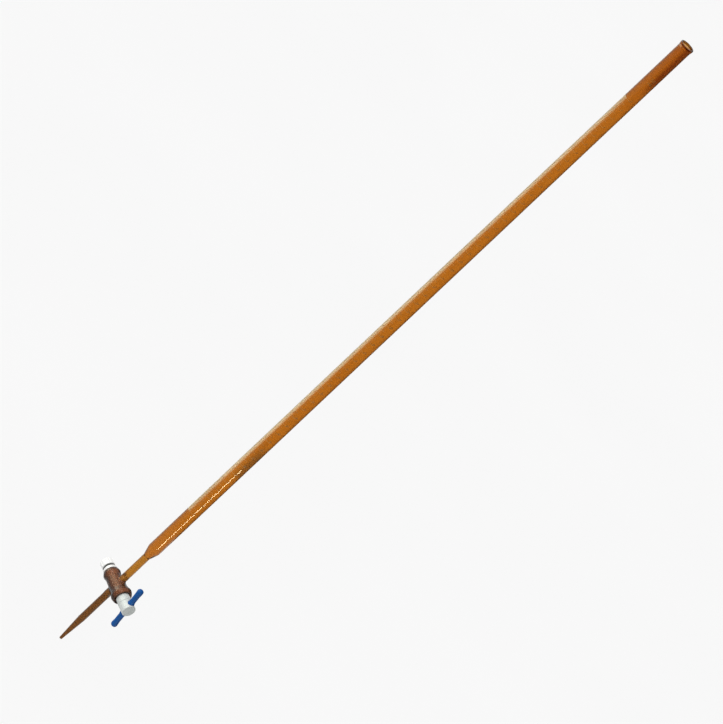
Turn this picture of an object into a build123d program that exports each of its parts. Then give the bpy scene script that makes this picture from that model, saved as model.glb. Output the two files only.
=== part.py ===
from build123d import *
import math
import os

# A 50 mL burette with an amber glass tube and a plastic stopcock key. The tube stands along +Z, the
# key lies along +X with its handle at +X, and the scale faces -Y. Sizes are in millimetres and
# degrees. Heights are measured up from the tip of the jet, and each piece is lowered at the end, so
# that the origin is the middle of the clamp's grip on the tube.

# Capacity and measuring tube
capacity_ml = 50
tube_bore = 10.65
tube_wall = 1.175
mouth_above_zero = 70.2
scale_above_shoulder = 53.6
grip_height = 500.0

# Mouth rim, flared and fire-polished
rim_diameter = 13.9
rim_length = 4.0
rim_mouth_flare = 0.35
rim_polish = 0.45
rim_neck_round = 2.0

# Shoulder between the tube and the stem
shoulder_length = 10.0
shoulder_round = 9.0
shoulder_neck = 0.5

# Stem and jet
stem_length = 27.6
stem_diameter = 7.3
stem_bore = 4.0
jet_length = 64.2
jet_diameter = 6.8
jet_bore = 3.4
jet_taper_length = 28.8
bore_taper_length = 26.0
tip_diameter = 2.7
tip_orifice = 0.9
tip_polish = 0.25
seal_cone_length = 2.5

# Stopcock barrel
barrel_half_length = 16.0
barrel_wall = 2.35
small_rim_diameter = 14.4
small_bead_height = 1.15
small_bead_from_end = 3.4
small_waist_from_end = 7.6
large_rim_diameter = 17.4
large_bead_height = 1.45
large_bead_from_end = 3.6
large_waist_from_end = 9.4
bead_round = 3.0
waist_round = 7.0
barrel_edge = 0.6
stub_length = 12.5
stub_fillet = 1.6
port_bore = 3.0

# Key: taper on the diameter, and its diameter where it leaves the barrel
key_taper = 0.1
key_large_diameter = 12.5
key_clearance = 0.03
key_bore = 2.5
key_turn_from_open = 9.8
collar_length = 7.0
collar_groove = 0.35
head_diameter = 13.0
head_length = 9.5
head_edge = 0.6

# Threaded tail of the key, with two flats
tail_diameter = 7.0
tail_flats = 5.8
tail_inset = 0.5
tail_beyond_nut = 1.2
tail_chamfer = 0.6

# Handle bar
bar_length = 48.4
bar_waist_diameter = 5.4
bar_end_diameter = 6.1
bar_swell_length = 8.0
bar_collar_diameter = 6.6
bar_collar_length = 2.6
bar_collar_edge = 0.5
bar_neck_round = 2.0
bar_waist_round = 14.0
bar_swell_round = 8.0
bar_end_flat = 0.3
bar_shank_diameter = 4.2
bar_from_head_end = 4.3
bar_fit = 0.02

# Washer, O-ring and nut on the tail
stack_gap = 0.05
washer_diameter = 12.8
washer_thickness = 3.2
washer_edge = 0.5
washer_bearing_edge = 0.2
washer_fit = 0.1
ring_section = 2.2
ring_fit = 0.02
nut_diameter = 12.4
nut_length = 7.0
nut_flange = 1.4
nut_fit = 0.05
nut_grooves = 10
nut_groove_diameter = 2.4
nut_groove_depth = 0.55
nut_edge = 0.5
nut_end_round = 1.0
nut_recess_diameter = 8.6
nut_recess_depth = 0.8

# Scale lines, fired onto the outside of the tube
line_width = 0.3
line_height = 0.1
line_seat = 0.01
whole_ml_arc = 112.0
half_ml_arc = 76.0

# Worked out from the sizes above
tube_radius = tube_bore / 2 + tube_wall
stem_radius = stem_diameter / 2
jet_radius = jet_diameter / 2
port_radius = port_bore / 2
scale_length = capacity_ml * 1000 / (math.pi * tube_bore**2 / 4)
key_height = jet_length + stub_length
stem_bottom = key_height + stub_length
stem_top = stem_bottom + stem_length
shoulder_top = stem_top + shoulder_length
full_mark = shoulder_top + scale_above_shoulder
zero_mark = full_mark + scale_length
mouth_top = zero_mark + mouth_above_zero
head_start = barrel_half_length + collar_length
head_end = head_start + head_length
bar_place = head_end - bar_from_head_end
washer_inner_face = -barrel_half_length - stack_gap
washer_outer_face = washer_inner_face - washer_thickness
ring_centre = washer_outer_face - ring_fit - ring_section / 2
nut_inner_face = ring_centre - ring_section / 2 - stack_gap
nut_outer_face = nut_inner_face - nut_length
tail_end = nut_outer_face - tail_beyond_nut


def key_radius(place):
    # Radius of the taper at a place along the key, measured from the tube's axis
    return key_large_diameter / 2 - (barrel_half_length - place) * key_taper / 2


def turned_upright(corners):
    # Solid of revolution about Z from corners of (radius, height, rounding)
    with BuildPart() as part:
        with BuildSketch(Plane.XZ):
            with BuildLine():
                points = [(radius, height) for radius, height, _ in corners]
                FilletPolyline(points, radius=[rounding for _, _, rounding in corners], close=True)
            make_face()
        revolve(axis=Axis.Z)
    return part.part


def turned_across(corners):
    # Solid of revolution about X from corners of (place, radius, rounding)
    with BuildPart() as part:
        with BuildSketch(Plane.XY):
            with BuildLine():
                points = [(place, radius) for place, radius, _ in corners]
                FilletPolyline(points, radius=[rounding for _, _, rounding in corners], close=True)
            make_face()
        revolve(axis=Axis.X)
    return part.part


def graduated_tube():
    # Shoulder, straight measuring tube and flared mouth in one drawn piece
    bore_radius = tube_bore / 2
    rim_radius = rim_diameter / 2
    mouth_radius = bore_radius + rim_mouth_flare
    rim_start = mouth_top - rim_length
    return turned_upright([
        (stem_radius, stem_top, 0),
        (stem_radius, stem_top + shoulder_neck, 0),
        (tube_radius, shoulder_top, shoulder_round),
        (tube_radius, rim_start, rim_neck_round),
        (rim_radius, rim_start + rim_length / 2, rim_neck_round),
        (rim_radius, mouth_top, rim_polish),
        (mouth_radius, mouth_top, rim_polish),
        (bore_radius, rim_start + rim_length / 2, rim_neck_round),
        (bore_radius, shoulder_top, shoulder_round),
        (stem_bore / 2, stem_top, 0),
    ])


def scale_line(height, arc):
    # One line: a thin band round the front of the tube, centred on -Y
    with BuildPart() as part:
        with BuildSketch(Plane.XZ.rotated((0, 0, -90 - arc / 2))):
            with Locations((tube_radius + line_seat + line_height / 2, height)):
                Rectangle(line_height, line_width)
        revolve(axis=Axis.Z, revolution_arc=arc)
    return part.part


def graduation_marks():
    # A line at every half millilitre, longer at each whole one
    lines = []
    for half_ml in range(2 * capacity_ml + 1):
        height = zero_mark - scale_length * half_ml / (2 * capacity_ml)
        arc = half_ml_arc if half_ml % 2 else whole_ml_arc
        lines.append(scale_line(height, arc))
    return Part() + lines


def inlet_stem():
    # Narrow tube from the shoulder down to the barrel's upper stub
    return turned_upright([
        (stem_radius, stem_bottom, 0),
        (stem_radius, stem_top, 0),
        (stem_bore / 2, stem_top, 0),
        (stem_bore / 2, stem_bottom + seal_cone_length, 0),
        (port_radius, stem_bottom, 0),
    ])


def delivery_jet():
    # Lower side arm, drawn out to the dropping tip
    return turned_upright([
        (jet_radius, jet_length - seal_cone_length, 0),
        (stem_radius, jet_length, 0),
        (port_radius, jet_length, 0),
        (jet_bore / 2, jet_length - seal_cone_length, 0),
        (jet_bore / 2, jet_taper_length, shoulder_round),
        (tip_orifice / 2, jet_taper_length - bore_taper_length, 0),
        (tip_orifice / 2, 0, 0),
        (tip_diameter / 2, 0, tip_polish),
        (jet_radius, jet_taper_length, shoulder_round),
    ])


def stopcock_barrel():
    # Rolled rims at both ends, a tapered bore, and a stub for each side arm
    bore_small = key_radius(-barrel_half_length) + key_clearance
    bore_large = key_radius(barrel_half_length) + key_clearance
    small_bead = small_bead_from_end - barrel_half_length
    small_waist = small_waist_from_end - barrel_half_length
    large_waist = barrel_half_length - large_waist_from_end
    large_bead = barrel_half_length - large_bead_from_end
    with BuildPart() as part:
        add(turned_across([
            (-barrel_half_length, 0, 0),
            (-barrel_half_length, small_rim_diameter / 2, barrel_edge),
            (small_bead, key_radius(small_bead) + barrel_wall + small_bead_height, bead_round),
            (small_waist, key_radius(small_waist) + barrel_wall, waist_round),
            (large_waist, key_radius(large_waist) + barrel_wall, waist_round),
            (large_bead, key_radius(large_bead) + barrel_wall + large_bead_height, bead_round),
            (barrel_half_length, large_rim_diameter / 2, barrel_edge),
            (barrel_half_length, 0, 0),
        ]))
        Cylinder(stem_radius, 2 * stub_length)
        joins = part.edges().filter_by(lambda e: e.geom_type not in (GeomType.CIRCLE, GeomType.LINE))
        fillet(joins, radius=stub_fillet)
        add(turned_across([
            (-barrel_half_length, 0, 0),
            (-barrel_half_length, bore_small, 0),
            (barrel_half_length, bore_large, 0),
            (barrel_half_length, 0, 0),
        ]), mode=Mode.SUBTRACT)
        Cylinder(port_radius, 2 * stub_length, mode=Mode.SUBTRACT)
    return part.part


def stopcock_plug():
    # Tapered, cross-bored body, collar and round head, with the flatted tail at the small end
    taper_end = tail_inset - barrel_half_length
    flat_length = taper_end - tail_end
    flat_place = (taper_end + tail_end) / 2
    flat_height = (tail_flats + tail_diameter) / 2
    with BuildPart() as part:
        add(turned_across([
            (tail_end, 0, 0),
            (tail_end, tail_diameter / 2 - tail_chamfer, 0),
            (tail_end + tail_chamfer, tail_diameter / 2, 0),
            (taper_end, tail_diameter / 2, 0),
            (taper_end, key_radius(taper_end), 0),
            (head_start - collar_groove, key_radius(head_start - collar_groove), 0),
            (head_start, head_diameter / 2 - collar_groove, 0),
            (head_start + collar_groove, head_diameter / 2, 0),
            (head_end, head_diameter / 2, head_edge),
            (head_end, 0, 0),
        ]))
        with Locations((flat_place, 0, flat_height), (flat_place, 0, -flat_height)):
            Box(flat_length, tail_diameter, tail_diameter, mode=Mode.SUBTRACT)
        Cylinder(key_bore / 2, 2 * key_large_diameter, mode=Mode.SUBTRACT)
        with Locations((bar_place, 0, 0)):
            Cylinder(bar_shank_diameter / 2 + bar_fit, 2 * head_diameter, mode=Mode.SUBTRACT)
    return part.part


def handle_bar():
    # Moulded bar: a plain shank inside the head, and on each side a collar, a waist and a full end
    half = bar_length / 2
    end_radius = bar_end_diameter / 2
    waist_radius = bar_waist_diameter / 2
    collar_end = head_diameter / 2 + bar_collar_length
    swell_start = half - bar_swell_length
    with BuildPart() as part:
        add(turned_upright([
            (0, 0, 0),
            (bar_collar_diameter / 2, 0, 0),
            (bar_collar_diameter / 2, head_diameter / 2, bar_collar_edge),
            (waist_radius, collar_end, bar_neck_round),
            (waist_radius, swell_start, bar_waist_round),
            (end_radius, half - end_radius, bar_swell_round),
            (end_radius, half, end_radius - bar_end_flat),
            (0, half, 0),
        ]))
        mirror(about=Plane.XY)
        with Locations(Rotation(0, 90, 0)):
            Cylinder(head_diameter / 2 + bar_fit, 2 * bar_from_head_end + head_length, mode=Mode.SUBTRACT)
        Cylinder(bar_shank_diameter / 2, head_diameter + bar_collar_length)
    return Pos(bar_place, 0, 0) * part.part


def thrust_washer():
    # Bears on the barrel's small end, and its flatted hole makes it turn with the key
    with BuildPart() as part:
        add(turned_across([
            (washer_inner_face, 0, 0),
            (washer_inner_face, washer_diameter / 2, washer_bearing_edge),
            (washer_outer_face, washer_diameter / 2, washer_edge),
            (washer_outer_face, 0, 0),
        ]))
        with BuildSketch(Plane.YZ.offset(washer_inner_face)):
            Circle(tail_diameter / 2 + washer_fit)
            Rectangle(2 * tail_diameter, tail_flats + 2 * washer_fit, mode=Mode.INTERSECT)
        extrude(amount=-washer_thickness, mode=Mode.SUBTRACT)
    return part.part


def o_ring():
    ring_radius = tail_diameter / 2 + ring_fit + ring_section / 2
    ring = Torus(ring_radius, ring_section / 2)
    return Pos(ring_centre, 0, 0) * Rotation(0, 90, 0) * ring


def tension_nut():
    # Plain flange against the ring, then a grooved grip with a recess round the thread
    grip_radius = nut_diameter / 2
    with BuildPart() as part:
        add(turned_across([
            (nut_inner_face, 0, 0),
            (nut_inner_face, grip_radius, nut_edge),
            (nut_outer_face, grip_radius, nut_end_round),
            (nut_outer_face, 0, 0),
        ]))
        groove_circle = grip_radius + nut_groove_diameter / 2 - nut_groove_depth
        grip_length = nut_length - nut_flange
        groove_plane = Plane((nut_outer_face + grip_length / 2, 0, 0), x_dir=(0, 1, 0), z_dir=(1, 0, 0))
        with Locations(groove_plane):
            with PolarLocations(groove_circle, nut_grooves):
                Cylinder(nut_groove_diameter / 2, grip_length, mode=Mode.SUBTRACT)
        with Locations(Pos(nut_outer_face, 0, 0) * Rotation(0, 90, 0)):
            Cylinder(nut_recess_diameter / 2, 2 * nut_recess_depth, mode=Mode.SUBTRACT)
        with Locations(Pos(nut_inner_face, 0, 0) * Rotation(0, 90, 0)):
            Cylinder(tail_diameter / 2 + nut_fit, 2 * nut_length, mode=Mode.SUBTRACT)
    return part.part


upright_pieces = {
    "graduated_tube": graduated_tube(),
    "graduation_marks": graduation_marks(),
    "inlet_stem": inlet_stem(),
    "delivery_jet": delivery_jet(),
}
barrel_pieces = {
    "stopcock_barrel": stopcock_barrel(),
}
key_pieces = {
    "stopcock_plug": stopcock_plug(),
    "handle_bar": handle_bar(),
    "thrust_washer": thrust_washer(),
    "o_ring": o_ring(),
    "tension_nut": tension_nut(),
}

lower = Pos(0, 0, -grip_height)
at_key = Pos(0, 0, key_height - grip_height)
placed = {name: lower * piece for name, piece in upright_pieces.items()}
placed |= {name: at_key * piece for name, piece in barrel_pieces.items()}
placed |= {name: at_key * Rotation(key_turn_from_open, 0, 0) * piece for name, piece in key_pieces.items()}

os.makedirs("parts", exist_ok=True)
for name, piece in placed.items():
    export_step(piece, f"parts/{name}.step")
    print(name, round(piece.volume, 1))
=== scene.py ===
import math

import bmesh
import bpy
from mathutils import Matrix, Vector


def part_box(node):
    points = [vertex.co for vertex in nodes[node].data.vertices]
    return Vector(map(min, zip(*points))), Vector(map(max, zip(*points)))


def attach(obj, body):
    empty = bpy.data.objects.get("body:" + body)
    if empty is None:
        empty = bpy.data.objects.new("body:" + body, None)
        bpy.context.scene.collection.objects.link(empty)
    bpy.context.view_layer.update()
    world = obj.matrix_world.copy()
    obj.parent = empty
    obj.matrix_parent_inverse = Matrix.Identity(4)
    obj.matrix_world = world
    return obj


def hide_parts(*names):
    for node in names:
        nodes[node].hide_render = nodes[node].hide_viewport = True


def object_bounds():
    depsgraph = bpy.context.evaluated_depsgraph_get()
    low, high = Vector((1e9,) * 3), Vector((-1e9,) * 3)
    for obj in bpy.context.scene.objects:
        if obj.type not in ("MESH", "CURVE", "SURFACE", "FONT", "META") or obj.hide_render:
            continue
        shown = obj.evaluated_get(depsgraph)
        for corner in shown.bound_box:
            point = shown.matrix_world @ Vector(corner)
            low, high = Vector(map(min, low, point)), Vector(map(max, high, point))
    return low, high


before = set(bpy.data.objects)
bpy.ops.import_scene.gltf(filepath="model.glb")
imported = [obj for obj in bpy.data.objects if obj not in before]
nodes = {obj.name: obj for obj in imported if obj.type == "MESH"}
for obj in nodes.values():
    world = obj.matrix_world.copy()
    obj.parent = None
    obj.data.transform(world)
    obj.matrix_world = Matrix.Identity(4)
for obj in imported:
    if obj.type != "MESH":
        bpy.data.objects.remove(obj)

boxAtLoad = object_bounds()
print("frame loaded:", ", ".join(sorted(nodes)))

# Heights and radii of the CAD pieces, which the glass and the fine scale are fitted to
marksLow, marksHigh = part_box("graduation_marks")
stemLow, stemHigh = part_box("inlet_stem")
jetLow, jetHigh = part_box("delivery_jet")
barrelLow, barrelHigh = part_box("stopcock_barrel")
keyHeight = (barrelLow.z + barrelHigh.z) / 2
stemRadius = stemHigh.x
weldGap = 1e-7  # points nearer to each other than this are merged

scaleSettings = {
    "capacity": 50,
    "lineWidth": 0.0003,
    "lineHeight": 0.0001,  # how far the enamel stands out of the glass
    "lineSeat": 0.00001,  # gap between the glass and the underside of the enamel
    "tenthFrom": -38.0,  # degrees round the tube from the front, where the half-millilitre lines start too
    "tenthTo": 13.0,
    "arcSteps": 12,
}
markRadius = -marksLow.y
tubeRadius = markRadius - scaleSettings["lineHeight"] - scaleSettings["lineSeat"]
zeroHeight = marksHigh.z - scaleSettings["lineWidth"] / 2
fullHeight = marksLow.z + scaleSettings["lineWidth"] / 2
mlPitch = (zeroHeight - fullHeight) / scaleSettings["capacity"]


def deselectAll():
    if bpy.context.object and bpy.context.object.mode != "OBJECT":
        bpy.ops.object.mode_set(mode="OBJECT")
    bpy.ops.object.select_all(action="DESELECT")


def makeActive(piece):
    deselectAll()
    piece.select_set(True)
    bpy.context.view_layer.objects.active = piece


def editAll():
    # Edit mode on the active piece, with all of it selected
    bpy.ops.object.mode_set(mode="EDIT")
    bpy.ops.mesh.select_all(action="SELECT")


def applyModifiers(piece):
    makeActive(piece)
    for modifier in list(piece.modifiers):
        bpy.ops.object.modifier_apply(modifier=modifier.name)


def settle(piece):
    # The place goes into the mesh, so that the object sits at the origin
    makeActive(piece)
    bpy.ops.object.transform_apply(location=True, rotation=True, scale=True)


# Materials

glassFinish = {
    "index": 1.47,  # of refraction
    "boreTint": (0.5, 0.35, 0.2),
    "ripple": 0.04,
    "rippleDepth": 0.0001,
    "slantFrom": 0.2,  # where the skin starts to turn to the edge colour, and where it is all edge
    "slantTo": 0.65,
}


def newMaterial(name):
    material = bpy.data.materials.new(name)
    material.use_nodes = True
    tree = material.node_tree
    surface = tree.nodes["Principled BSDF"]
    return material, tree, surface


def addNode(tree, kind, **settings):
    node = tree.nodes.new(kind)
    for key, value in settings.items():
        setattr(node, key, value)
    return node


def objectPattern(tree, scale=(1, 1, 1)):
    # Object coordinates, stretched
    coordinates = addNode(tree, "ShaderNodeTexCoord")
    mapping = addNode(tree, "ShaderNodeMapping")
    mapping.inputs["Scale"].default_value = scale
    tree.links.new(coordinates.outputs["Object"], mapping.inputs["Vector"])
    return mapping.outputs["Vector"]


def noise(tree, scale, detail, stretch=(1, 1, 1)):
    node = addNode(tree, "ShaderNodeTexNoise")
    node.inputs["Scale"].default_value = scale
    node.inputs["Detail"].default_value = detail
    tree.links.new(objectPattern(tree, stretch), node.inputs["Vector"])
    return node.outputs["Fac"]


def ramp(tree, factor, stops):
    node = addNode(tree, "ShaderNodeValToRGB")
    elements = node.color_ramp.elements
    for element, (place, colour) in zip(elements, stops):
        element.position = place
        element.color = (*colour, 1)
    tree.links.new(factor, node.inputs["Fac"])
    return node.outputs["Color"]


def rangeOf(tree, value, low, high, newLow, newHigh):
    node = addNode(tree, "ShaderNodeMapRange")
    for name, number in zip(("From Min", "From Max", "To Min", "To Max"), (low, high, newLow, newHigh)):
        node.inputs[name].default_value = number
    tree.links.new(value, node.inputs["Value"])
    return node.outputs["Result"]


def mixColours(tree, factor, first, second, blend="MIX"):
    node = addNode(tree, "ShaderNodeMix", data_type="RGBA", blend_type=blend)
    colourInputs = [socket for socket in node.inputs if socket.type == "RGBA"]
    for socket, colour in zip(colourInputs, (first, second)):
        if isinstance(colour, tuple):
            socket.default_value = (*colour, 1)
        else:
            tree.links.new(colour, socket)
    if isinstance(factor, float):
        node.inputs["Factor"].default_value = factor
    else:
        tree.links.new(factor, node.inputs["Factor"])
    return [socket for socket in node.outputs if socket.type == "RGBA"][0]


def bumpInto(tree, surface, height, strength, distance):
    node = addNode(tree, "ShaderNodeBump")
    node.inputs["Strength"].default_value = strength
    node.inputs["Distance"].default_value = distance
    tree.links.new(height, node.inputs["Height"])
    tree.links.new(node.outputs["Normal"], surface.inputs["Normal"])


def along(tree, direction):
    # How far a point lies along a direction from the object's origin, in metres
    node = addNode(tree, "ShaderNodeVectorMath", operation="DOT_PRODUCT")
    tree.links.new(objectPattern(tree), node.inputs[0])
    node.inputs[1].default_value = direction
    return node.outputs["Value"]


def product(tree, first, second):
    node = addNode(tree, "ShaderNodeMath", operation="MULTIPLY")
    tree.links.new(first, node.inputs[0])
    tree.links.new(second, node.inputs[1])
    return node.outputs[0]


def clearGlass(name, clear=1.0):
    material, tree, surface = newMaterial(name)
    surface.inputs["Transmission Weight"].default_value = clear
    surface.inputs["IOR"].default_value = glassFinish["index"]
    return material, tree, surface


def amberGlass(name, light, deep, edge, tint, clear=1.0, rough=(0.015, 0.06), stainsAndShade=()):
    # Each entry is a deeper colour and the stretches, along given directions, over which it comes in; some
    # entries are real stains, others painted shade
    material, tree, surface = clearGlass(name, clear)
    if clear < 1:
        # Cloudy from outside, but light inside the wall gets out
        side = addNode(tree, "ShaderNodeNewGeometry")
        passed = rangeOf(tree, side.outputs["Backfacing"], 0, 1, clear, 1)
        tree.links.new(passed, surface.inputs["Transmission Weight"])
    surface.inputs["Specular Tint"].default_value = (*tint, 1)
    streaks = noise(tree, scale=420, detail=2, stretch=(1, 1, 0.02))
    clouds = noise(tree, scale=60, detail=3, stretch=(1, 1, 0.35))
    colour = ramp(tree, clouds, [(0.3, deep), (0.7, light)])
    streakTint = ramp(tree, streaks, [(0.3, (0.95, 0.92, 0.88)), (0.7, (1, 1, 1))])
    colour = mixColours(tree, 1.0, colour, streakTint, "MULTIPLY")
    # Mix in the deeper colours: real stains, and painted shade on some pieces
    for deeperColour, stretches in stainsAndShade:
        shares = [rangeOf(tree, along(tree, way), start, end, 0, 1) for way, start, end in stretches]
        share = shares[0]
        for other in shares[1:]:
            share = product(tree, share, other)
        colour = mixColours(tree, share, colour, deeperColour)
    slant = addNode(tree, "ShaderNodeLayerWeight")
    slant.inputs["Blend"].default_value = 0.5
    longPath = rangeOf(tree, slant.outputs["Facing"], glassFinish["slantFrom"], glassFinish["slantTo"], 0, 1)
    tree.links.new(mixColours(tree, longPath, colour, edge), surface.inputs["Base Color"])
    smears = noise(tree, scale=140, detail=4, stretch=(1, 1, 0.1))
    tree.links.new(rangeOf(tree, smears, 0.35, 0.75, *rough), surface.inputs["Roughness"])
    waves = noise(tree, scale=260, detail=1, stretch=(1, 1, 0.08))
    bumpInto(tree, surface, waves, glassFinish["ripple"], glassFinish["rippleDepth"])
    return material


def boreGlass():
    # The wall's colour is all in its outer skin, so the bore only bends and reflects light
    material, tree, surface = clearGlass("clear bore")
    surface.inputs["Specular Tint"].default_value = (*glassFinish["boreTint"], 1)
    film = noise(tree, scale=200, detail=3, stretch=(1, 1, 0.2))
    colour = ramp(tree, film, [(0.3, (0.95, 0.93, 0.9)), (0.7, (1, 1, 1))])
    tree.links.new(colour, surface.inputs["Base Color"])
    tree.links.new(rangeOf(tree, film, 0.35, 0.75, 0.01, 0.05), surface.inputs["Roughness"])
    return material


def groundGlass():
    # The barrel's taper is ground, so it scatters what shows through it
    material, tree, surface = clearGlass("ground taper")
    grit = noise(tree, scale=2500, detail=2)
    colour = ramp(tree, grit, [(0.3, (0.9, 0.86, 0.82)), (0.7, (1, 1, 1))])
    tree.links.new(colour, surface.inputs["Base Color"])
    tree.links.new(rangeOf(tree, grit, 0.3, 0.7, 0.3, 0.5), surface.inputs["Roughness"])
    return material


def sealedGlass():
    # Where two glass pieces are fused there is no surface, so light goes straight through
    material, tree, surface = newMaterial("fused glass seal")
    clear = addNode(tree, "ShaderNodeBsdfTransparent")
    tree.links.new(clear.outputs["BSDF"], tree.nodes["Material Output"].inputs["Surface"])
    tree.nodes.remove(surface)
    return material


def enamel(name, colour, thin, fade):
    # The enamel's colour turns to its thin colour between two angles, in degrees round from the front
    material, tree, surface = newMaterial(name)
    surface.inputs["Specular IOR Level"].default_value = 0.2
    speckle = noise(tree, scale=3000, detail=2)
    angle = addNode(tree, "ShaderNodeMath", operation="ARCTAN2")
    tree.links.new(along(tree, (1, 0, 0)), angle.inputs[0])
    tree.links.new(along(tree, (0, -1, 0)), angle.inputs[1])
    first, last = fade
    share = rangeOf(tree, angle.outputs[0], math.radians(first), math.radians(last), 0, 1)
    fired = mixColours(tree, share, colour, thin)
    worn = ramp(tree, speckle, [(0.35, (0.82, 0.82, 0.82)), (0.6, (1, 1, 1))])
    tree.links.new(mixColours(tree, 1.0, fired, worn, "MULTIPLY"), surface.inputs["Base Color"])
    tree.links.new(rangeOf(tree, speckle, 0.3, 0.7, 0.35, 0.6), surface.inputs["Roughness"])
    return material


def mouldedPlastic(name, colour, shade, rough, subsurface=0.0, gloss=0.5):
    material, tree, surface = newMaterial(name)
    surface.inputs["Specular IOR Level"].default_value = gloss
    marbling = noise(tree, scale=160, detail=4)
    tree.links.new(ramp(tree, marbling, [(0.3, shade), (0.7, colour)]), surface.inputs["Base Color"])
    grain = noise(tree, scale=1800, detail=3)
    tree.links.new(rangeOf(tree, grain, 0.3, 0.7, *rough), surface.inputs["Roughness"])
    surface.inputs["Subsurface Weight"].default_value = subsurface
    surface.inputs["Subsurface Radius"].default_value = (0.001, 0.001, 0.001)
    bumpInto(tree, surface, grain, 0.12, 0.0001)
    return material


upward = (0, 0, 1)
keySide = (0.765, 0.644, 0)  # across the tube, towards the handle's side of its back

materials = {
    "graduated_tube": amberGlass(
        "amber glass, tube",
        light=(0.53, 0.175, 0.016), deep=(0.47, 0.14, 0.011), edge=(0.13, 0.05, 0.009),
        tint=(0.5, 0.35, 0.2),
        stainsAndShade=[
            # darker all round towards the mouth, painted shade on one side near the mouth, and painted shade
            # on one side low on the scale
            ((0.38, 0.095, 0.008), [(upward, 0.21, 0.30)]),
            # painted shade: one side of the tube near the mouth is darkened
            ((0.19, 0.036, 0.0045), [(upward, 0.25, 0.268), (keySide, 0.0, 0.0036)]),
            # painted shade standing for a dark reflection: one side of the tube low on the scale is darkened
            ((0.28, 0.10, 0.016), [
                (upward, -0.272, -0.262), (upward, -0.222, -0.236), (keySide, -0.002, 0.003)]),
        ]),
    "inlet_stem": amberGlass(
        "amber glass, stem",
        light=(0.47, 0.19, 0.02), deep=(0.41, 0.155, 0.015), edge=(0.16, 0.07, 0.012),
        tint=(0.5, 0.35, 0.2)),
    "delivery_jet": amberGlass(
        "amber glass, jet",
        light=(0.18, 0.068, 0.014), deep=(0.14, 0.05, 0.010), edge=(0.04, 0.018, 0.005),
        tint=(0.4, 0.3, 0.2)),
    "stopcock_barrel": amberGlass(
        "amber glass, barrel",
        light=(0.25, 0.093, 0.046), deep=(0.19, 0.07, 0.034), edge=(0.02, 0.008, 0.004),
        tint=(0.3, 0.22, 0.18), clear=0.5, rough=(0.18, 0.27),
        # painted shade: the barrel's underside, below the key's axis, is darkened as if lit from above
        stainsAndShade=[((0.03, 0.011, 0.006), [(upward, keyHeight + 0.003, keyHeight - 0.006)])]),
    "graduation_marks": enamel(
        "cream enamel", colour=(0.95, 0.85, 0.52), thin=(0.50, 0.22, 0.05), fade=(-8, 16)),
    "stopcock_plug": mouldedPlastic(
        "white key plastic", colour=(0.58, 0.61, 0.59), shade=(0.53, 0.56, 0.54), rough=(0.4, 0.55),
        subsurface=0.1),
    "thrust_washer": mouldedPlastic(
        "white washer plastic", colour=(0.82, 0.82, 0.8), shade=(0.76, 0.76, 0.74), rough=(0.35, 0.5)),
    "tension_nut": mouldedPlastic(
        "white nut plastic", colour=(0.82, 0.82, 0.81), shade=(0.79, 0.79, 0.78), rough=(0.45, 0.6)),
    "handle_bar": mouldedPlastic(
        "blue bar plastic", colour=(0.001, 0.08, 0.30), shade=(0.001, 0.062, 0.25), rough=(0.45, 0.6),
        gloss=0.15),
    "o_ring": mouldedPlastic(
        "black rubber", colour=(0.018, 0.018, 0.018), shade=(0.01, 0.01, 0.01), rough=(0.55, 0.75)),
}
for name, material in materials.items():
    mesh = nodes[name].data
    mesh.materials.clear()
    mesh.materials.append(material)

# Glass that covers only some faces of a piece, and the enamel of the numbers
fusedSeal = sealedGlass()
clearBore = boreGlass()
groundTaper = groundGlass()
burntRim = amberGlass(
    "amber glass, rim",
    light=(0.13, 0.07, 0.01), deep=(0.10, 0.05, 0.007), edge=(0.05, 0.025, 0.005), tint=(0.5, 0.4, 0.2))
upperArm = amberGlass(
    "amber glass, upper side arm",
    light=(0.38, 0.15, 0.025), deep=(0.33, 0.125, 0.02), edge=(0.12, 0.05, 0.01),
    tint=(0.5, 0.35, 0.2), clear=0.35, rough=(0.05, 0.12))
lowerArm = amberGlass(
    "amber glass, lower side arm",
    light=(0.20, 0.08, 0.02), deep=(0.15, 0.055, 0.012), edge=(0.04, 0.018, 0.005),
    tint=(0.4, 0.3, 0.2), clear=0.35, rough=(0.05, 0.12))
numeralEnamel = enamel(
    "olive enamel", colour=(0.30, 0.14, 0.025), thin=(0.24, 0.105, 0.02), fade=(30, 80))
print("materials made for whole pieces:", len(materials))


# Glass pieces, turned ring by ring

glassSettings = {
    "sides": 96,
    "roundSteps": 6,
    "smoothTo": 40.0,  # degrees, past which an edge stays sharp
    "stemBore": 0.002,
    "portRadius": 0.0015,  # of the bore where it runs into the barrel
    "sealCone": 0.0025,  # length over which a piece comes to its size at the barrel
    "sealReach": 0.00002,  # a seal's faces are this near its height
    "sealRise": 0.99,  # and lie level, so that their normals rise more than this
}
glassNodes = {
    "measuring_tube": "graduated_tube",
    "narrow_stem": "inlet_stem",
    "drawn_jet": "delivery_jet",
    "ground_barrel": "stopcock_barrel",
}
# Places of the materials on a glass piece, and of those that follow on the tube and on the barrel
skinPlace, sealPlace, borePlace = 0, 1, 2
rimPlace = 3
taperPlace, upperArmPlace, lowerArmPlace = 3, 4, 5


def roundedOutline(corners):
    # Points along corners of (radius, height, rounding), with each rounded corner as an arc
    outline = []
    steps = glassSettings["roundSteps"]
    places = [Vector(corner[:2]) for corner in corners]
    for index, (radius, height, rounding) in enumerate(corners):
        here = places[index]
        if not rounding:
            outline.append(here)
            continue
        back = (places[index - 1] - here).normalized()
        ahead = (places[(index + 1) % len(places)] - here).normalized()
        half = back.angle(ahead) / 2
        centre = here + (back + ahead).normalized() * rounding / math.sin(half)
        start = here + back * rounding / math.tan(half) - centre
        end = here + ahead * rounding / math.tan(half) - centre
        for step in range(steps + 1):
            outline.append(centre + start.lerp(end, step / steps).normalized() * rounding)
    return outline


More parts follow.
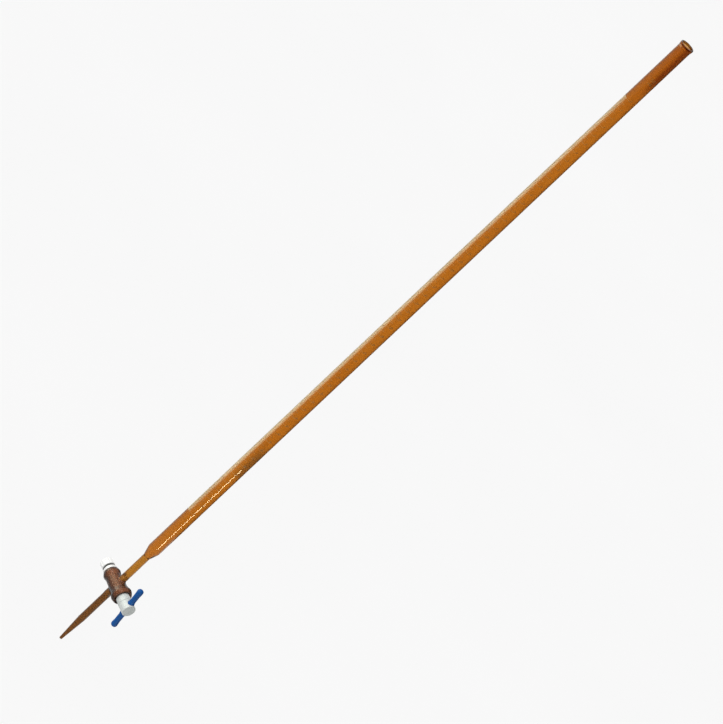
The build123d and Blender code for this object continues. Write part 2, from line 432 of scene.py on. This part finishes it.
def finishGlass(piece, name, seals):
    makeActive(piece)
    bpy.ops.object.shade_smooth_by_angle(angle=math.radians(glassSettings["smoothTo"]))
    piece.data.materials.clear()
    for material in (materials[glassNodes[name]], fusedSeal, clearBore):
        piece.data.materials.append(material)
    for face in piece.data.polygons:
        atSeal = any(abs(face.center.z - height) < glassSettings["sealReach"] for height in seals)
        inward = face.normal.x * face.center.x + face.normal.y * face.center.y < 0
        if atSeal and abs(face.normal.z) > glassSettings["sealRise"]:
            face.material_index = sealPlace
        elif inward:
            face.material_index = borePlace
    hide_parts(glassNodes[name])
    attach(piece, "root")


def turnedShell(name, corners, seals):
    # A glass wall: rings drawn along its outline from the outside in, the last joined to the first
    outline = roundedOutline(corners)
    deselectAll()
    first = outline[0]
    bpy.ops.mesh.primitive_circle_add(
        vertices=glassSettings["sides"], radius=first.x, fill_type="NOTHING", location=(0, 0, first.y))
    piece = bpy.context.object
    piece.name = name
    editAll()
    for before, after in zip(outline, outline[1:]):
        bpy.ops.mesh.extrude_edges_move(TRANSFORM_OT_translate={"value": (0, 0, after.y - before.y)})
        ratio = after.x / before.x
        bpy.ops.transform.resize(value=(ratio, ratio, 1), center_override=(0, 0, after.y))
    bpy.ops.mesh.select_all(action="DESELECT")
    bpy.ops.mesh.select_mode(type="EDGE")
    bpy.ops.mesh.select_non_manifold()
    bpy.ops.mesh.bridge_edge_loops()
    bpy.ops.mesh.select_all(action="SELECT")
    bpy.ops.mesh.normals_make_consistent(inside=False)
    bpy.ops.object.mode_set(mode="OBJECT")
    settle(piece)
    finishGlass(piece, name, seals)
    return piece


tubeSettings = {
    "bore": 0.005325,
    "rimRadius": 0.00695,
    "rimLength": 0.004,
    "rimFlare": 0.00035,
    "rimPolish": 0.00045,
    "neckRound": 0.002,
    "shoulderLength": 0.010,
    "shoulderRound": 0.009,
    "shoulderNeck": 0.0005,
}


def measuringTube():
    t = tubeSettings
    bottom = stemHigh.z
    top = boxAtLoad[1].z
    shoulder = bottom + t["shoulderLength"]
    rimMiddle = top - t["rimLength"] / 2
    piece = turnedShell("measuring_tube", [
        (stemRadius, bottom, 0),
        (stemRadius, bottom + t["shoulderNeck"], 0),
        (tubeRadius, shoulder, t["shoulderRound"]),
        (tubeRadius, top - t["rimLength"], t["neckRound"]),
        (t["rimRadius"], rimMiddle, t["neckRound"]),
        (t["rimRadius"], top, t["rimPolish"]),
        (t["bore"] + t["rimFlare"], top, t["rimPolish"]),
        (t["bore"], rimMiddle, t["neckRound"]),
        (t["bore"], shoulder, t["shoulderRound"]),
        (glassSettings["stemBore"], bottom, 0),
    ], [bottom])
    piece.data.materials.append(burntRim)
    for face in piece.data.polygons:
        fromAxis = math.hypot(face.center.x, face.center.y)
        if face.center.z > rimMiddle and fromAxis < t["rimRadius"] - t["rimPolish"]:
            face.material_index = rimPlace
    return piece


def narrowStem():
    g = glassSettings
    low, high = stemLow.z, stemHigh.z
    return turnedShell("narrow_stem", [
        (stemRadius, low, 0),
        (stemRadius, high, 0),
        (g["stemBore"], high, 0),
        (g["stemBore"], low + g["sealCone"], 0),
        (g["portRadius"], low, 0),
    ], [low, high])


jetSettings = {
    "radius": 0.0034,
    "bore": 0.0017,
    "taper": 0.0288,  # length from the tip to where the jet starts to draw in
    "boreTaper": 0.026,
    "taperRound": 0.009,
    "tipRadius": 0.00135,
    "tipOrifice": 0.00045,
    "tipPolish": 0.00025,
}


def drawnJet():
    j = jetSettings
    tip, top = jetLow.z, jetHigh.z
    shoulder = tip + j["taper"]
    sealed = top - glassSettings["sealCone"]
    return turnedShell("drawn_jet", [
        (stemRadius, top, 0),
        (j["radius"], sealed, 0),
        (j["radius"], shoulder, j["taperRound"]),
        (j["tipRadius"], tip, j["tipPolish"]),
        (j["tipOrifice"], tip, 0),
        (j["tipOrifice"], shoulder - j["boreTaper"], 0),
        (j["bore"], shoulder, j["taperRound"]),
        (j["bore"], sealed, 0),
        (glassSettings["portRadius"], top, 0),
    ], [top])


barrelSettings = {
    "groundRadius": 0.0066,  # larger than the taper, smaller than the barrel's outside
    "stubStart": 0.0084,  # from the key's axis to where the side arms' own colour starts
    "stubReach": 1.02,  # of the stem's radius, to take in a whole side arm
    "portReach": 1.05,  # of the port's radius, to take in its whole wall
    "portRise": 0.5,  # a port's wall faces sideways, so its normal rises less than this
}


def groundBarrel():
    b = barrelSettings
    source = nodes["stopcock_barrel"]
    piece = source.copy()
    piece.data = source.data.copy()
    piece.name = "ground_barrel"
    for key in [key for key in piece.keys() if key.startswith("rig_")]:
        del piece[key]
    piece.parent = None
    bpy.context.collection.objects.link(piece)
    makeActive(piece)
    editAll()
    bpy.ops.mesh.remove_doubles(threshold=weldGap)
    bpy.ops.object.mode_set(mode="OBJECT")
    finishGlass(piece, "ground_barrel", [jetHigh.z, stemLow.z])
    for extra in (groundTaper, upperArm, lowerArm):
        piece.data.materials.append(extra)
    for face in piece.data.polygons:
        if face.material_index == sealPlace:
            continue
        place = face.center
        rise = place.z - keyHeight
        fromAxis = math.hypot(place.y, rise)
        facingAxis = face.normal.y * place.y + face.normal.z * rise < 0
        fromTube = math.hypot(place.x, place.y)
        face.material_index = skinPlace
        if fromTube < stemRadius * b["stubReach"] and fromAxis > b["stubStart"]:
            face.material_index = upperArmPlace if rise > 0 else lowerArmPlace
        if fromTube < glassSettings["portRadius"] * b["portReach"] and abs(face.normal.z) < b["portRise"]:
            face.material_index = borePlace
        elif facingAxis and fromAxis < b["groundRadius"]:
            face.material_index = taperPlace
    return piece


for make in (measuringTube, narrowStem, drawnJet, groundBarrel):
    glass = make()
    print("glass made:", glass.name, len(glass.data.polygons), "faces")


# Fine scale: the tenth lines, four between each pair of CAD lines

def tenthLines():
    settings = scaleSettings
    inner = tubeRadius + settings["lineSeat"]
    deselectAll()
    bpy.ops.mesh.primitive_plane_add(size=1, location=(0, -inner - settings["lineHeight"] / 2, 0))
    lines = bpy.context.object
    lines.name = "tenth_lines"
    lines.scale = (settings["lineWidth"], settings["lineHeight"], 1)
    lines.rotation_euler = (0, math.radians(90), 0)
    settle(lines)
    start = math.radians(settings["tenthFrom"])
    arc = math.radians(settings["tenthTo"]) - start
    turn = Matrix.Rotation(start, 3, "Z")
    for vertex in lines.data.vertices:
        vertex.co = turn @ vertex.co
    editAll()
    bpy.ops.mesh.spin(steps=settings["arcSteps"], angle=-arc, center=(0, 0, 0), axis=(0, 0, 1))
    bpy.ops.mesh.select_all(action="SELECT")
    bpy.ops.mesh.remove_doubles(threshold=weldGap)
    bpy.ops.mesh.normals_make_consistent(inside=False)
    bpy.ops.object.mode_set(mode="OBJECT")
    for vertex in lines.data.vertices:
        vertex.co.z += fullHeight + mlPitch / 10
    # Four tenth lines, then both halves of a millilitre, then the whole scale
    for count, pitch in ((4, mlPitch / 10), (2, mlPitch / 2), (settings["capacity"], mlPitch)):
        array = lines.modifiers.new("repeat", "ARRAY")
        array.count = count
        array.use_relative_offset = False
        array.use_constant_offset = True
        array.constant_offset_displace = (0, 0, pitch)
    applyModifiers(lines)
    lines.data.materials.append(materials["graduation_marks"])
    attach(lines, "root")
    return lines


tenths = tenthLines()
print("tenth lines made:", len(tenths.data.polygons), "faces")


# Numerals and the capacity, in enamel bent round the tube

numeralSettings = {
    "height": 0.0019,
    "middle": 56.0,  # degrees from the front of the scale, near the right ends of the long lines
    "above": 0.0004,  # from a line's middle to the foot of its number
    "curveSteps": 3,
    "weldGap": 1e-6,  # in the letters' own size, before they are brought to height
    "heading": {"mL": (0.0026, 0.0225), "50": (0.0032, 0.0262)},  # height of the letters, and above zero
}


def bentText(words, height, foot):
    # Thin letters round the tube, upright when the tube hangs
    settings = scaleSettings
    deselectAll()
    bpy.ops.object.text_add()
    label = bpy.context.object
    label.data.body = words
    label.data.align_x = "CENTER"
    label.data.resolution_u = numeralSettings["curveSteps"]
    label.data.extrude = settings["lineHeight"] / 2
    makeActive(label)
    bpy.ops.object.convert(target="MESH")
    label = bpy.context.object
    editAll()
    bpy.ops.mesh.remove_doubles(threshold=numeralSettings["weldGap"])
    bpy.ops.object.mode_set(mode="OBJECT")
    lowest = min(vertex.co.y for vertex in label.data.vertices)
    highest = max(vertex.co.y for vertex in label.data.vertices)
    scale = height / (highest - lowest)
    middle = math.radians(numeralSettings["middle"])
    radius = tubeRadius + settings["lineSeat"] + settings["lineHeight"] / 2
    for vertex in label.data.vertices:
        across, up, out = vertex.co
        around = middle + across * scale / tubeRadius
        reach = radius + out
        level = foot + (up - lowest) * scale
        vertex.co = (reach * math.sin(around), -reach * math.cos(around), level)
    return label


def scaleNumerals():
    letters = []
    for number in range(scaleSettings["capacity"] + 1):
        foot = zeroHeight - mlPitch * number + numeralSettings["above"]
        letters.append(bentText(str(number), numeralSettings["height"], foot))
    for words, (height, above) in numeralSettings["heading"].items():
        letters.append(bentText(words, height, zeroHeight + above))
    deselectAll()
    for label in letters:
        label.select_set(True)
    bpy.context.view_layer.objects.active = letters[0]
    bpy.ops.object.join()
    piece = bpy.context.object
    piece.name = "scale_numerals"
    piece.data.materials.clear()
    piece.data.materials.append(numeralEnamel)
    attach(piece, "root")
    return piece


numerals = scaleNumerals()
print("numerals made:", len(numerals.data.polygons), "faces")


# Floor, backdrop and light

studio = {
    "floorDrop": 0.25,  # the burette hangs in a clamp, this far above the bench
    "floorSize": 60.0,
    "paleGrey": 0.93,
    "floorColour": 0.80,
    "floorShade": 0.99,  # the darker patches of the floor, as a share of its colour
    "floorGlow": 0.135,
    "worldStrength": 0.60,
    "sunTowards": (-0.25, -0.75, 0.8),
    "sunStrength": 2.0,
    "sunAngle": 40.0,
    "flagSides": 64,
    "flagRadius": 0.9,
    "flagHeight": 1.5,
    "flagArc": (20.0, 215.0),
    "flagGrey": 0.02,
    "strips": {
        "low strip": {
            "azimuth": 76.0, "distance": 0.5, "low": -0.599, "high": -0.475, "width": 0.15,
            "glow": 32.0, "tint": (0.85, 1.0, 0.95)},
        "scale strip": {
            "azimuth": -48.0, "distance": 0.5, "low": -0.51, "high": 0.05, "width": 0.5,
            "glow": 4.0, "tint": (0.9, 1.0, 0.8)},
    },
}


def rayIsSeen(tree):
    # 1 for rays that show the background itself: to the camera, in a gloss or through glass
    rays = addNode(tree, "ShaderNodeLightPath")
    total = rays.outputs["Is Camera Ray"]
    for name in ("Is Glossy Ray", "Is Transmission Ray"):
        either = addNode(tree, "ShaderNodeMath", operation="MAXIMUM")
        tree.links.new(total, either.inputs[0])
        tree.links.new(rays.outputs[name], either.inputs[1])
        total = either.outputs[0]
    return total


def makeFloor():
    deselectAll()
    height = jetLow.z - studio["floorDrop"]
    bpy.ops.mesh.primitive_plane_add(size=studio["floorSize"], location=(0, 0, height))
    floor = bpy.context.object
    floor.name = "floor"
    material, tree, surface = newMaterial("pale floor")
    grain = noise(tree, scale=3, detail=2)
    pale = studio["floorColour"]
    colour = ramp(tree, grain, [(0.3, (pale * studio["floorShade"],) * 3), (0.7, (pale,) * 3)])
    tree.links.new(colour, surface.inputs["Base Color"])
    surface.inputs["Roughness"].default_value = 1.0
    surface.inputs["Specular IOR Level"].default_value = 0.0
    surface.inputs["Emission Color"].default_value = (1, 1, 1, 1)
    glow = rangeOf(tree, rayIsSeen(tree), 0, 1, 0, studio["floorGlow"])
    tree.links.new(glow, surface.inputs["Emission Strength"])
    floor.data.materials.append(material)


def makeWorld():
    world = bpy.data.worlds.new("studio")
    bpy.context.scene.world = world
    world.use_nodes = True
    tree = world.node_tree
    background = tree.nodes["Background"]
    pale = studio["paleGrey"]
    background.inputs["Color"].default_value = (pale, pale, pale, 1)
    strength = rangeOf(tree, rayIsSeen(tree), 0, 1, studio["worldStrength"], 1)
    tree.links.new(strength, background.inputs["Strength"])


def makeSun():
    deselectAll()
    bpy.ops.object.light_add(type="SUN")
    sun = bpy.context.object
    sun.name = "overhead softbox"
    sun.data.energy = studio["sunStrength"]
    sun.data.angle = math.radians(studio["sunAngle"])
    sun.rotation_euler = Vector(studio["sunTowards"]).to_track_quat("Z", "Y").to_euler()


def showInGlossOnly(item):
    item.visible_camera = False
    item.visible_diffuse = False
    item.visible_transmission = False
    item.visible_shadow = False


def azimuthOf(place):
    # Degrees round from the front of the scale towards the key's handle
    return math.degrees(math.atan2(place.x, -place.y)) % 360


def makeFlag():
    # A dark screen beside the glass, so that one edge of the glass reads dark
    deselectAll()
    bottom = jetLow.z - studio["floorDrop"]
    bpy.ops.mesh.primitive_circle_add(
        vertices=studio["flagSides"], radius=studio["flagRadius"], location=(0, 0, bottom))
    flag = bpy.context.object
    flag.name = "dark flag"
    editAll()
    bpy.ops.mesh.extrude_edges_move(TRANSFORM_OT_translate={"value": (0, 0, studio["flagHeight"])})
    bpy.ops.object.mode_set(mode="OBJECT")
    settle(flag)
    mesh = bmesh.new()
    mesh.from_mesh(flag.data)
    first, last = studio["flagArc"]
    spare = [face for face in mesh.faces if not first < azimuthOf(face.calc_center_median()) < last]
    bmesh.ops.delete(mesh, geom=spare, context="FACES")
    mesh.to_mesh(flag.data)
    mesh.free()
    material, tree, surface = newMaterial("black velvet")
    surface.inputs["Base Color"].default_value = (*(studio["flagGrey"],) * 3, 1)
    surface.inputs["Roughness"].default_value = 1.0
    flag.data.materials.append(material)
    showInGlossOnly(flag)


def makeStrip(name, azimuth, distance, low, high, width, glow, tint):
    # An upright strip lamp
    around = math.radians(azimuth)
    outward = Vector((math.sin(around), -math.cos(around), 0))
    deselectAll()
    bpy.ops.object.light_add(type="AREA", location=outward * distance + Vector((0, 0, (low + high) / 2)))
    strip = bpy.context.object
    strip.name = name
    strip.data.shape = "RECTANGLE"
    strip.data.size = width
    strip.data.size_y = high - low
    strip.data.energy = glow * math.pi * width * (high - low)
    strip.data.color = tint
    strip.rotation_euler = outward.to_track_quat("Z", "Y").to_euler()
    showInGlossOnly(strip)


makeFloor()
makeFlag()
makeWorld()
makeSun()
for name, place in studio["strips"].items():
    makeStrip(name, **place)
print("studio made:", 1 + len(studio["strips"]), "lamps")

# Camera at the photograph's angle: a long lens, rolled so that the tube leans to the upper right
photoView = {
    "towards": (0.602, -0.715, 0.358),  # from the burette to the camera
    "distance": 5.2,
    "aim": (0.02648, -0.02330, -0.09107),  # what lies at the picture's middle
    "roll": 46.6645,  # degrees
    "lens": 295.69,
    "sensor": 36.0,
    "nearest": 0.1,
    "farthest": 200,
}


def makeCamera():
    deselectAll()
    bpy.ops.object.camera_add()
    camera = bpy.context.object
    camera.name = "photo camera"
    camera.data.sensor_width = photoView["sensor"]
    camera.data.lens = photoView["lens"]
    camera.data.clip_start = photoView["nearest"]
    camera.data.clip_end = photoView["farthest"]
    back = Vector(photoView["towards"]).normalized()
    right = Vector((0, 0, 1)).cross(back).normalized()
    up = back.cross(right)
    upright = Matrix((right, up, back)).transposed()
    turned = upright @ Matrix.Rotation(math.radians(photoView["roll"]), 3, "Z")
    camera.rotation_euler = turned.to_euler()
    camera.location = Vector(photoView["aim"]) + back * photoView["distance"]
    bpy.context.scene.camera = camera


makeCamera()
bpy.context.scene.view_settings.view_transform = "Standard"

print("scene ready")
